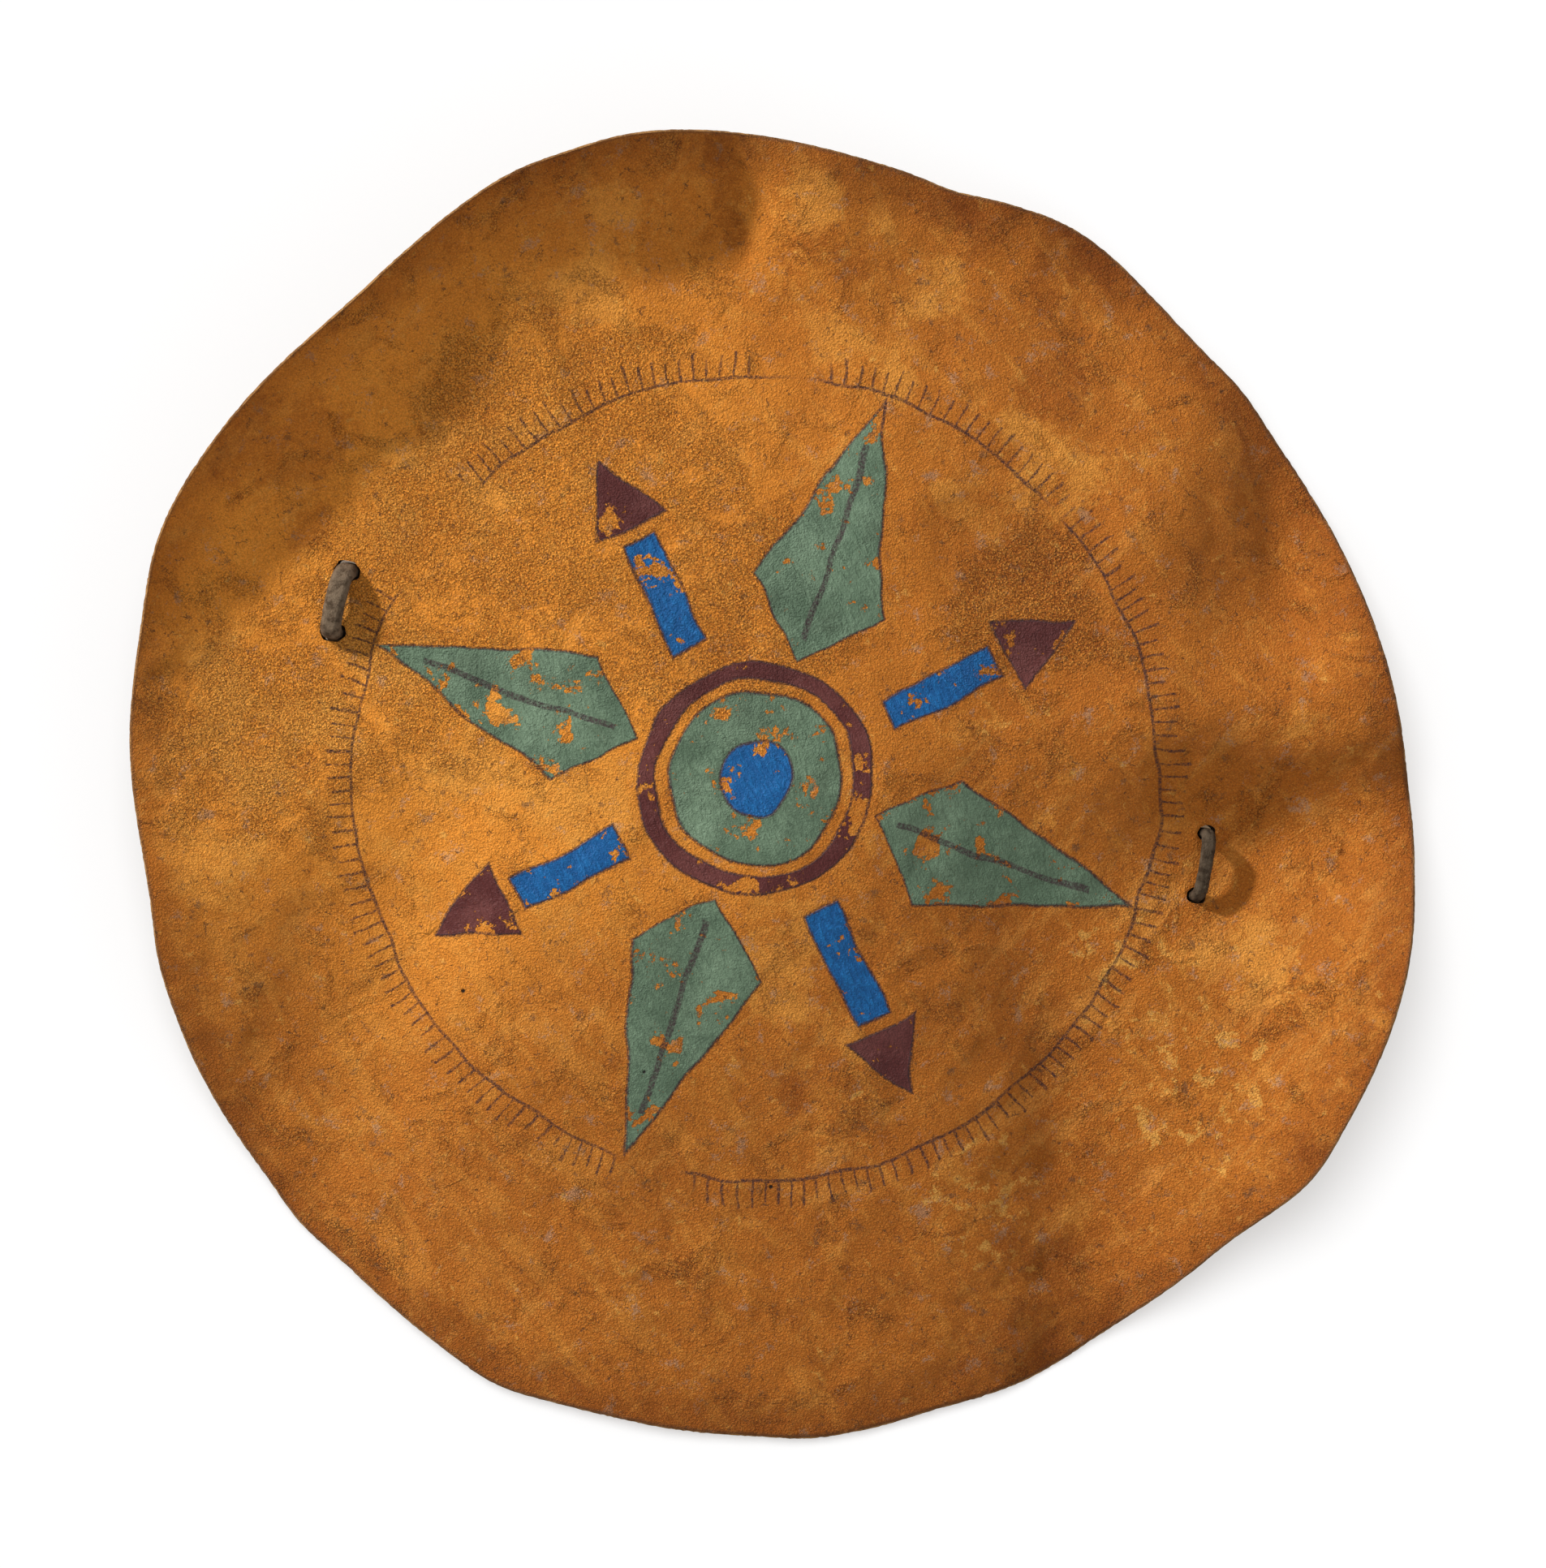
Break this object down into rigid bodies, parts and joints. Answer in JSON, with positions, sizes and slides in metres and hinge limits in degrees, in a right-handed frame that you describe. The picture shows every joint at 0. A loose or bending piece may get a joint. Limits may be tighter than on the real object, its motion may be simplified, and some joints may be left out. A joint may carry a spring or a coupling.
{
  "type": "painted hide shield",
  "caption": "Round warped rawhide shield with two thong stitches on its painted face and a slack carrying strap looped round them behind.",
  "frame": {"origin": "middle of the bounding box, on the surface that the shield lies on", "axes": "+Z out of the painted face, which looks up; +Y towards the top of the face; +X to the right of the face seen from the front"},
  "size_m": [0.4564, 0.4644, 0.0836],
  "materials": {
    "rawhide": "rough ochre-stained rawhide, worn, painted",
    "dark_thong": "grey-brown suede thong, hand-worn",
    "tanned_strap": "soft tanned hide strap",
    "binding": "shrunk rawhide binding"
  },
  "bodies": {
    "shield": {"hide_disc": "rawhide", "carry_strap": "tanned_strap", "left_binding": "binding", "right_binding": "binding"},
    "left_stitch": {"left_thong": "dark_thong"},
    "right_stitch": {"right_thong": "dark_thong"}
  },
  "joints": [
    {"name": "left_thong_draw", "type": "slide", "parent": "shield", "child": "left_stitch", "axis": [0.2311, -0.0036, -0.9729], "range_m": [0, 0.0018]},
    {"name": "right_thong_draw", "type": "slide", "parent": "shield", "child": "right_stitch", "axis": [-0.3331, 0.0215, -0.9426], "range_m": [0, 0.0015]}
  ]
}
